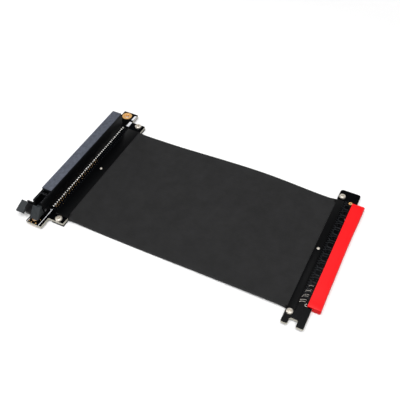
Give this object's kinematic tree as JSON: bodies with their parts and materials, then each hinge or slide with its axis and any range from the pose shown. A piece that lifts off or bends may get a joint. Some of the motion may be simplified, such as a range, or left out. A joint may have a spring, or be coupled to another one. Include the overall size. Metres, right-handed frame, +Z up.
{
  "type": "gpu riser cable",
  "caption": "Wide flat ribbon that extends a graphics card slot: latched slot board at one end, edge plug board under a push-on cover at the other.",
  "frame": {"origin": "bottom centre of the whole part's box, on the surface that it lies on", "axes": "+X from the slot board to the plug board, +Y along the slot away from its latch, +Z up, out of the slot's mouth"},
  "size_m": [0.2082, 0.1268, 0.0164],
  "materials": {
    "board_mask": "satin black solder mask over fibreglass",
    "gold_plating": "plated gold",
    "housing_plastic": "moulded black plastic",
    "dust_cover_plastic": "matt slate-grey plastic",
    "latch_plastic": "moulded dark grey plastic",
    "pin_steel": "turned steel",
    "wire_cover_film": "matt black film",
    "clamp_plastic": "moulded black plastic",
    "fastener_steel": "nickel-plated steel",
    "ribbon_jacket": "matt black vinyl jacket",
    "edge_cover_vinyl": "soft red vinyl"
  },
  "bodies": {
    "riser": {"slot_board": "board_mask", "mounting_eyelet_near": "gold_plating", "mounting_eyelet_far": "gold_plating", "slot_housing": "housing_plastic", "slot_contacts_left_long": "gold_plating", "slot_contacts_left_short": "gold_plating", "slot_contacts_right_long": "gold_plating", "slot_contacts_right_short": "gold_plating", "slot_dust_cover": "dust_cover_plastic", "latch_pin": "pin_steel", "slot_wire_cover": "wire_cover_film", "slot_clamp_bar": "clamp_plastic", "slot_screw_near": "fastener_steel", "slot_screw_far": "fastener_steel", "slot_clamp_rivet": "fastener_steel", "ribbon_cable": "ribbon_jacket", "plug_board": "board_mask", "edge_contacts_top_long": "gold_plating", "edge_contacts_top_short": "gold_plating", "edge_contacts_bottom_long": "gold_plating", "edge_contacts_bottom_short": "gold_plating", "plug_edge_cover": "edge_cover_vinyl", "plug_ground_pad": "gold_plating", "plug_wire_cover": "wire_cover_film", "plug_clamp_bar": "clamp_plastic", "plug_screw_near": "fastener_steel", "plug_screw_far": "fastener_steel", "plug_clamp_rivet": "fastener_steel"},
    "latch": {"latch_lever": "latch_plastic"}
  },
  "joints": [
    {"name": "latch_pivot", "type": "hinge", "parent": "riser", "child": "latch", "pos_m": [-0.0896, -0.0519, 0.0064], "axis": [-1, 0, 0], "range_deg": [-5, 15]}
  ]
}
